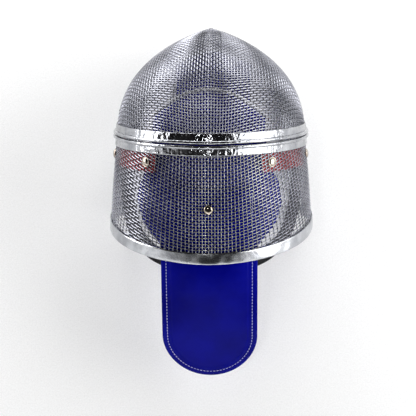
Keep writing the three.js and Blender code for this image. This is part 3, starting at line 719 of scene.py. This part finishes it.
def rivetPiece(node, side, angle, w, deep):
    # profile (radius, height over the wire) turned about the wire's normal, from the inner end up
    w = np.array(w)
    t = mask["crownReach"] - archAt(w)[4] * math.cos(angle)
    x = np.array(0.0) if side == 0 else sideX(t, w)
    normal = toWorld(localNormal(x, t, w))
    at = place(x, t, w)
    if side == 0:
        normal[0] = 0
    if side < 0:
        normal, at = normal * [-1, 1, 1], at * [-1, 1, 1]
    normal = unit(normal)
    base, r, inner, shank = (rivet[k] for k in ("base", "radius", "inner", "shank"))
    head = base + 0.55
    clench = [(0.001, deep - 1.3), (inner * 0.5, deep - 1.25), (inner * 0.85, deep - 1.0),
              (inner, deep - 0.5), (inner, deep), (shank, deep), (shank, base)]
    washer = [(r, base), (r + 0.05, base + 0.3), (r - 0.1, head), (r * 0.9, base + 0.62)]
    turn = np.linspace(0.0, 1.38, 9)
    dome = np.stack([r * 0.86 * np.cos(turn), head + rivet["dome"] * np.sin(turn)], -1)
    profile = np.concatenate([clench, washer, dome, [(0.001, head + rivet["dome"])]])
    ref = unit(np.cross(normal, [0.3, 0.1, 1.0]))
    ring = circle(rivet["around"], ref, np.cross(normal, ref))
    rings = at + profile[:, None, :1] * ring[None] + profile[:, None, 1:] * normal
    newPiece(node + "_turned", rings, sweep(rings), rivetMetal, node, sharp=35, weld=0.01)


for node, spot in rivetSpots.items():
    rivetPiece(node, *spot)
print("rivets made")

# the crown pad's half width at each w, how far it hangs under the wire, and its curved front edge;
# the chin pad's half width and depth, its height over the floor, and its gap to the wire
crownPad = {"w": [-112, -104, -92, -80, -60, -46, -32, -10, 8, 30],
            "half": [47, 50, 60, 67, 72, 73, 70, 60, 56.5, 56],
            "inset": 15.0, "thick": 8.0, "front": 48.5, "frontCurve": 0.0087, "steepest": 0.45}
chinPad = {"half": 42.0, "deep": 46.0, "rearCurve": 10.0, "thick": 13.0, "low": 27.0, "rise": 15.0,
           "blunt": 14.0, "gap": 8.0, "search": 0.1}
piping = {"radius": 1.6, "sides": 14, "above": 1.0, "ahead": 2.3}


def padPiece(name, node, middle, thick, rows, columns, quilt):
    # two faces over a middle sheet that meet in a seam all round: the half thickness is
    # thick / 2 * sqrt((1 - |u|^10) (1 - |2 v - 1|^10)), less the quilting
    v, u = np.meshgrid(np.linspace(0, 1, rows), np.linspace(-1, 1, columns), indexing="ij")
    u, v = np.sin(u * math.pi / 2), 0.5 - 0.5 * np.cos(v * math.pi)
    at, normal = middle(u, v)
    rim = (1 - np.abs(u) ** 10) * (1 - np.abs(2 * v - 1) ** 10)
    border = np.zeros(u.shape, bool)
    border[[0, -1]] = border[:, [0, -1]] = True
    half = np.where(border, 0, thick / 2 * np.sqrt(np.clip(rim, 0, 1)) * quilt(u, v))[..., None]
    top, bottom = at + normal * half, at - normal * half
    count = rows * columns
    quads = gridFaces(rows, columns)
    # the lower face shares the upper one's border points
    index = np.arange(count).reshape(rows, columns)
    under = np.where(border, index, index + count).ravel()[quads][:, ::-1]
    # the upper face looks along the normal: one quad is tested and all turned if needed
    probe = quads[count // 2 - columns // 2]
    a, b, c = top.reshape(-1, 3)[probe[:3]]
    if np.dot(np.cross(b - a, c - a), normal.reshape(-1, 3)[probe[0]]) < 0:
        quads, under = quads[:, ::-1], under[:, ::-1]
    size = np.stack([np.linalg.norm(at[:, 1:] - at[:, :-1], axis=-1).mean() * columns * (u + 1) / 2,
                     np.linalg.norm(at[1:] - at[:-1], axis=-1).mean() * rows * v], -1)
    piece = newPiece(name, np.stack([top, bottom]), [quads, under], padCloth, node,
                     uv=np.stack([size, size]), sharp=80)


def crownMiddle(u, v):
    # below the wire by the inset measured square to it; the front edge is a parabola
    rear, front = crownPad["w"][0], crownPad["w"][-1]
    x = u * np.interp(rear + v * (front - rear), crownPad["w"], crownPad["half"])
    w = rear + v * (crownPad["front"] - crownPad["frontCurve"] * x * x - rear)
    t = roofT(x, w)
    g = toWorld(localNormal(np.abs(x), t, w))
    g[..., 0] *= np.sign(x) * smooth(0, 3, np.abs(x))
    normal = unit(g)
    drop = crownPad["inset"] / np.minimum(-crownPad["steepest"], normal @ axisT)
    return place(x, t - drop, w), normal


def chinMiddle(u, v):
    # padded shelf along the jaw: its height rises as v^2 to the front, where it follows the wire
    x = u * chinPad["half"]
    height = chinPad["low"] + chinPad["rise"] * v * v
    blunt = np.hypot(x, chinPad["blunt"])
    w = np.full(x.shape, mask["frontDepth"])
    for _ in range(1200):
        w = np.where(meshValue(blunt, floorT(w, height), w) > 1, w - chinPad["search"], w)
    front = w - chinPad["gap"]
    behind = front - chinPad["deep"] + chinPad["rearCurve"] * u * u
    w = behind + (front - behind) * v
    normal = np.broadcast_to(unit(np.array([0, 0.3, 1.0])), (*x.shape, 3))
    return place(x, floorT(w, height), w), normal


def crownQuilt(u, v):
    # shallow sewn channels: two from front to back and one across, each a narrow bell
    return 1 - 0.16 * np.exp(-((np.abs(u) - 0.36) / 0.035) ** 2) - 0.16 * np.exp(-((v - 0.3) / 0.03) ** 2)


def chinQuilt(u, v):
    # one shallow channel down the middle
    return 1 - 0.12 * np.exp(-(u / 0.05) ** 2)


def padPiping():
    # round cord along the crown pad's front edge, a little above it and in front of it
    u = np.linspace(-1, 1, 121)
    at, normal = crownMiddle(u, np.ones(u.shape))
    path = at + normal * piping["above"] + axisW * piping["ahead"]
    tangent = unit(np.gradient(path, axis=0))
    side = unit(np.cross(tangent, [0, 0, 1.0]))
    rings = path[:, None] + piping["radius"] * circle(piping["sides"], np.cross(side, tangent), side)
    newPiece("pad_edge_piping", rings, sweep(rings), pipingVinyl, "pad_piping", sharp=60)


padPiece("crown_pad_cushion", "crown_pad", crownMiddle, crownPad["thick"], 96, 90, crownQuilt)
padPiece("chin_pad_cushion", "chin_pad", chinMiddle, chinPad["thick"], 50, 70, chinQuilt)
padPiping()
print("pads made")

# the sprung tongue: a stiff leaf that leaves the crown's slope and bends down to endSlope, with a
# thinner bound border that is stitched; bow is how far its sides hang below its middle
tongue = {"wide": 97.0, "thick": 2.8, "free": 136.0, "from": -46.0, "inset": 6.5, "bowInside": 12.5,
          "bowFree": 3.0, "endSlope": 49.0, "ease": 0.22, "easeStep": 8, "border": 9.5, "thin": 1.7,
          "groove": 0.35, "stitchIn": 5.3, "stitchPitch": 3.4, "stitchLong": 2.5, "stitchRadius": 0.38,
          "stitchSides": 6}


def tongueLine():
    # middle line (y, z): follows the wire inside the basket, then its slope eases to the end slope
    w = np.arange(tongue["from"], float(rimW(mask["crownFall"])) - 2, -1.0)
    w = w[w >= w[::9][-1]]
    start = place(0 * w, roofT(0 * w, w) + tongue["inset"], w)[:, 1:]
    slope = math.atan2(start[-10, 1] - start[-1, 1], start[-1, 0] - start[-10, 0])
    steps = round(tongue["free"] / tongue["easeStep"]) * tongue["easeStep"]
    left = (1 - tongue["ease"]) ** (np.arange(1, steps + 1) / tongue["easeStep"])
    slopes = math.radians(tongue["endSlope"]) + (slope - math.radians(tongue["endSlope"])) * left
    run = start[-1] + np.cumsum(np.stack([np.cos(slopes), -np.sin(slopes)], -1), 0)
    line = np.concatenate([start, run])
    return line, pathLength(line)


tongueMiddle, tongueRun = tongueLine()
tongueWhole = tongueRun[-1]


def tonguePoint(x, s, up):
    # point at distance s along the middle line and x across, up above the sheet, whose sides
    # drop by bow * (2 x / wide)^2
    y, z = (np.interp(s, tongueRun, tongueMiddle[:, k]) for k in range(2))
    dy, dz = (np.interp(s, tongueRun, np.gradient(tongueMiddle[:, k], tongueRun)) for k in range(2))
    size = np.hypot(dy, dz)
    freed = smooth(tongueWhole - tongue["free"], tongueWhole - tongue["free"] / 3, s)
    bow = tongue["bowInside"] + (tongue["bowFree"] - tongue["bowInside"]) * freed
    rise = up - bow * (2 * x / tongue["wide"]) ** 2
    return np.stack([x, y - dz / size * rise, z + dy / size * rise], -1)


def tongueOutline(inset, count):
    # down the left side, round the half circle of the end and up the right side, at a distance
    # inside the edge
    half = tongue["wide"] / 2
    centre = tongueWhole - half
    straight = np.linspace(0, 1, count)
    arc = np.linspace(math.pi, 0, count)
    r = half - inset
    x = np.concatenate([-r + 0 * straight, r * np.cos(arc)[1:-1], r + 0 * straight])
    s = np.concatenate([centre * straight, centre + r * np.sin(arc)[1:-1], centre * straight[::-1]])
    return x, s


def tonguePiece():
    # rings of the outline at growing insets: a rounded edge, the thin border with its stitched
    # groove, then an eased step up to the full thickness
    insets = np.concatenate([[0, 0.08, 0.25, 0.55, 1.0, 1.8, 3.0, 4.4, 5.3, 6.2, 7.4, 8.4],
                             tongue["border"] + np.array([-0.5, -0.2, 0.1, 0.5, 1.1, 2.2]),
                             np.linspace(14, tongue["wide"] / 2, 14)])
    edge = np.sqrt(np.clip(1 - (1 - np.clip(insets, 0, 1)) ** 2, 0, 1))
    step = smooth(tongue["border"] - 0.5, tongue["border"] + 0.9, insets)
    groove = tongue["groove"] * np.exp(-((insets - tongue["stitchIn"]) / 0.9) ** 2)
    half = edge * (tongue["thin"] / 2 + (tongue["thick"] - tongue["thin"]) / 2 * step) - groove * edge * 0.6
    outline = [tongueOutline(d, 70) for d in insets]
    x, s = np.array([o[0] for o in outline]), np.array([o[1] for o in outline])
    up = half[:, None] + 0 * x
    points = np.concatenate([tonguePoint(x, s, side * up).reshape(-1, 3) for side in (1, -1)])
    rows, columns = x.shape
    count = rows * columns
    quads = gridFaces(rows, columns)
    a, b, c = points[quads[columns * 20 + 30, :3]]
    if np.cross(b - a, c - a)[2] < 0:
        quads = quads[:, ::-1]
    under = quads[:, ::-1] + count
    # the cut end under the basket: joins top and bottom along the first and last columns
    i = np.arange(rows - 1) * columns
    first = np.stack([i, i + columns, i + columns + count, i + count], -1)
    last = first[:, ::-1] + columns - 1
    uv = np.stack([x, s], -1).reshape(-1, 2)
    piece = newPiece("tongue_vinyl", points, [quads, under, first, last], tongueVinyl,
                     "tongue", uv=np.concatenate([uv, uv]), sharp=60, weld=0.02)
    changeMesh(piece.data, lambda work: bmesh.ops.recalc_face_normals(work, faces=work.faces))


def tongueStitches():
    # short six-sided stitches, one every pitch along the border, thinner and sunk at their ends
    sides = tongue["stitchSides"]
    x, s = tongueOutline(tongue["stitchIn"], 400)
    run = pathLength(np.stack([x, s], -1))
    at = np.arange(6, run[-1] - 6, tongue["stitchPitch"])
    thick = tongue["stitchRadius"] * np.array([0.55, 0.95, 1, 0.95, 0.55])
    stations = len(thick)
    q = np.linspace(-0.5, 0.5, stations)[None, :] * tongue["stitchLong"] + at[:, None]
    sink = 0.18 + 0.3 * np.abs(np.linspace(-1, 1, stations)) ** 3
    path = tonguePoint(np.interp(q, run, x), np.interp(q, run, s), tongue["thin"] / 2 - sink + 0 * q)
    tangent = unit(np.gradient(path, axis=1))
    side = unit(np.cross(tangent, [0, 0.5, 1.0]))
    rings = path[:, :, None] + thick[:, None, None] * circle(sides, np.cross(side, tangent), side)
    base = np.arange(len(at))[:, None] * stations * sides
    quads = (gridFaces(stations, sides, False, True)[:, ::-1][None] + base[..., None]).reshape(-1, 4)
    start = np.arange(sides)[::-1][None] + base
    end = np.arange(sides)[None] + base + (stations - 1) * sides
    newPiece("tongue_stitching", rings, [quads, start, end], threadPale, None, sharp=70)


tonguePiece()
tongueStitches()
print("tongue made")

# the red tabs hang under the back wires at w = tabAt from their rivets down; the elastic runs
# through napeRoute (x, t, w) from the right tab to the middle, and leans to lie on the head
strap = {"tabAt": -20.0, "tabWide": 20.0, "tabTop": -1.55, "tabThick": 1.3, "tabFrom": 0.6, "tabDown": 42.0,
         "napeWide": 24.0, "napeThick": 1.8, "lean": 0.45}
napeRoute = np.array([[90, 142, -18], [91, 132, -36], [89, 118, -58], [85, 102, -82], [76, 84, -104],
                      [60, 70, -119], [42, 62, -127], [22, 58, -131], [0, 57, -132]], float)


def flatSection(across, thick, count=9):
    # thin strip section (across, out) whose edges are rounded: thick / 2 * sqrt(1 - |u|^8)
    u = np.linspace(-1, 1, count)
    half = thick / 2 * np.sqrt(np.clip(1 - np.abs(u) ** 8, 0.05, 1))
    upper = np.stack([u * across / 2, half], -1)
    return np.concatenate([upper, upper[::-1] * [1, -1]])


def stripUv(rings, section):
    # cloth map in millimetres: distance along the strip's middle, and place across it
    run = pathLength(rings[:, 4])
    return np.stack(np.broadcast_arrays(run[:, None], section[None, :, 0]), -1)


def tabPiece(side, name, node):
    # webbing under the back wires, from the shoulder rivet down past the widest level
    angles = np.linspace(strap["tabFrom"], math.pi / 2, 60)
    t = np.concatenate([mask["crownReach"] * (1 - np.cos(angles)),
                        mask["crownReach"] + np.linspace(1, strap["tabDown"], 30)])
    section = flatSection(strap["tabWide"], strap["tabThick"])
    w = strap["tabAt"] + section[None, :, 0] + 0 * t[:, None]
    t = t[:, None] + 0 * w
    out = strap["tabTop"] - strap["tabThick"] / 2 + section[None, :, 1]
    rings = offsetPoint(sideX(t, w), t, w, out) * np.array([side, 1, 1])
    newPiece(name, rings, sweep(rings), redWebbing, node,
             uv=stripUv(rings, section), sharp=60)


def napePiece():
    # elastic loop: Catmull-Rom curve through the route, its width square to it and leaning
    right = place(napeRoute[:, 0], napeRoute[:, 1], napeRoute[:, 2])
    knots = np.concatenate([right * [-1, 1, 1], right[:-1][::-1]])
    p = np.concatenate([[2 * knots[0] - knots[1]], knots, [2 * knots[-1] - knots[-2]]])
    q = np.linspace(0, 1, 14, endpoint=False)[None, :, None]
    a, b, c, d = (p[k:len(p) - 3 + k][:, None] for k in range(4))
    path = 0.5 * (2 * b + (c - a) * q + (2 * a - 5 * b + 4 * c - d) * q ** 2
                  + (3 * b - a - 3 * c + d) * q ** 3)
    path = np.concatenate([path.reshape(-1, 3), knots[-1:]])
    along = unit(np.gradient(path, axis=0))
    up = unit(-axisT + along * (along @ axisT)[:, None])
    up = up * math.cos(strap["lean"]) + np.cross(up, along) * math.sin(strap["lean"])
    out = np.cross(up, along)
    section = flatSection(strap["napeWide"], strap["napeThick"])
    rings = path[:, None] + up[:, None] * section[None, :, :1] + out[:, None] * section[None, :, 1:]
    newPiece("nape_elastic", rings, sweep(rings), blackElastic, "nape_strap",
             uv=stripUv(rings, section), sharp=60)


tabPiece(-1, "strap_tab_left_webbing", "strap_tab_left")
tabPiece(1, "strap_tab_right_webbing", "strap_tab_right")
napePiece()
print("straps made")

# the camera looks at the seam's crown from view's direction, moved down so that the crown stands
# above the middle; metres, degrees, and the lens in millimetres
view = {"azimuth": 185.4, "elevation": 72.4, "roll": -5.1, "distance": 1.358, "lens": 121.2,
        "crownAside": 0.0, "crownAbove": 0.0611}
# a ring of white wall lights the floor while the ceiling stays dark; the wall is dimmer to the sides
studio = {"wallGlow": 2.9, "ceilingGlow": 0.02, "wallTop": 0.12, "ceilingFrom": 0.5,
          "sideDim": 0.4, "sideFrom": 0.35, "sideTo": 0.95, "floorSide": 6.0}
lamps = [  # name, place, aim, size, watts, colour
    ("softbox_low", (1.25, -0.6, 0.45), (0, 0, 0.1), (1.6, 0.6), 20.0, 0xffffff),
    ("softbox_tall", (-1.25, 0.1, 0.72), (0, 0, 0.1), (1.5, 1.15), 22.0, 0xffffff),
    ("softbox_front", (-0.1, -1.4, 0.7), (0, 0, 0.12), (1.3, 0.7), 14.0, 0xffffff),
    ("small_lamp_high", (0.15, 0.55, 1.5), (0, 0, 0.1), (0.12, 0.12), 1.6, 0xffffff),
]


def matPaper():
    # matt studio paper: plain near-white with a faint tooth
    material, tree, shader = newMaterial("matt_studio_paper", Roughness=0.9)
    spot = addNode(tree, "TexCoord").outputs["Object"]
    tooth = addNode(tree, "TexNoise", {"Vector": spot, "Scale": every(1.429), "Detail": 2.0}).outputs["Fac"]
    tree.links.new(colourBetween(tree, tooth, 0xf4f4f4, 0xffffff, 0.3, 0.7), shader.inputs["Base Color"])
    return material


def floorPlane():
    # flat square grid just under the mask
    count = 41
    a = np.linspace(-0.5, 0.5, count) * studio["floorSide"]
    x, y = np.meshgrid(a, a, indexing="ij")
    mesh = bpy.data.meshes.new("studio_floor")
    points = np.stack([x, y, 0 * x - 0.0002], -1).reshape(-1, 3)
    mesh.from_pydata(points.tolist(), [], gridFaces(count, count).tolist())
    mesh.materials.append(matPaper())
    piece = bpy.data.objects.new("studio_floor", mesh)
    bpy.context.scene.collection.objects.link(piece)


def lamp(name, at, aim, size, watts, colour):
    # rectangular area lamp turned to face its aim
    data = bpy.data.lights.new(name, "AREA")
    data.shape, data.size, data.size_y = "RECTANGLE", *size
    data.energy, data.color = watts, linear(colour)[:3]
    light = bpy.data.objects.new(name, data)
    turn = (Vector(at) - Vector(aim)).to_track_quat("Z", "Y").to_matrix().to_4x4()
    light.matrix_world = Matrix.Translation(at) @ turn
    bpy.context.scene.collection.objects.link(light)


def camera():
    # behind points from the crown to the camera; right and up are square to it, turned by the roll
    e, a, q = (math.radians(view[k]) for k in ("elevation", "azimuth", "roll"))
    behind = np.array([math.sin(a) * math.cos(e), -math.cos(a) * math.cos(e), math.sin(e)])
    right = np.array([math.cos(a), math.sin(a), 0.0])
    up = np.cross(behind, right)
    right, up = right * math.cos(q) + up * math.sin(q), up * math.cos(q) - right * math.sin(q)
    crown = place(0.0, 0.0, 0.0) * 0.001
    at = crown + behind * view["distance"] - right * view["crownAside"] - up * view["crownAbove"]
    data = bpy.data.cameras.new("camera")
    data.lens, data.sensor_width, data.clip_start = view["lens"], 36.0, 0.01
    item = bpy.data.objects.new("camera", data)
    turn = np.eye(4)
    turn[:3, 0], turn[:3, 1], turn[:3, 2], turn[:3, 3] = right, up, behind, at
    item.matrix_world = Matrix(turn.tolist())
    bpy.context.scene.collection.objects.link(item)
    bpy.context.scene.camera = item


def studioGlow():
    # world light: its strength falls from the wall to the ceiling by the height looked at, and is
    # multiplied down towards both sides
    world = bpy.data.worlds.new("studio")
    world.use_nodes = True
    tree = world.node_tree
    background = tree.nodes["Background"]
    background.inputs["Color"].default_value = linear(0xffffff)
    direction = addNode(tree, "TexCoord").outputs["Generated"]
    towards = addNode(tree, "SeparateXYZ", {"Vector": direction}).outputs
    aside = addNode(tree, "Math", {0: towards["X"]}, operation="ABSOLUTE").outputs[0]
    glow = remap(tree, towards["Z"], studio["wallGlow"], studio["ceilingGlow"],
                 studio["wallTop"], studio["ceilingFrom"])
    dimmed = remap(tree, aside, 1.0, studio["sideDim"], studio["sideFrom"], studio["sideTo"])
    strength = addNode(tree, "Math", {0: glow, 1: dimmed}, operation="MULTIPLY").outputs[0]
    tree.links.new(strength, background.inputs["Strength"])
    bpy.context.scene.world = world


floorPlane()
for entry in lamps:
    lamp(*entry)
studioGlow()
camera()
bpy.context.scene.view_settings.view_transform = "Standard"
print("floor, light and camera made")
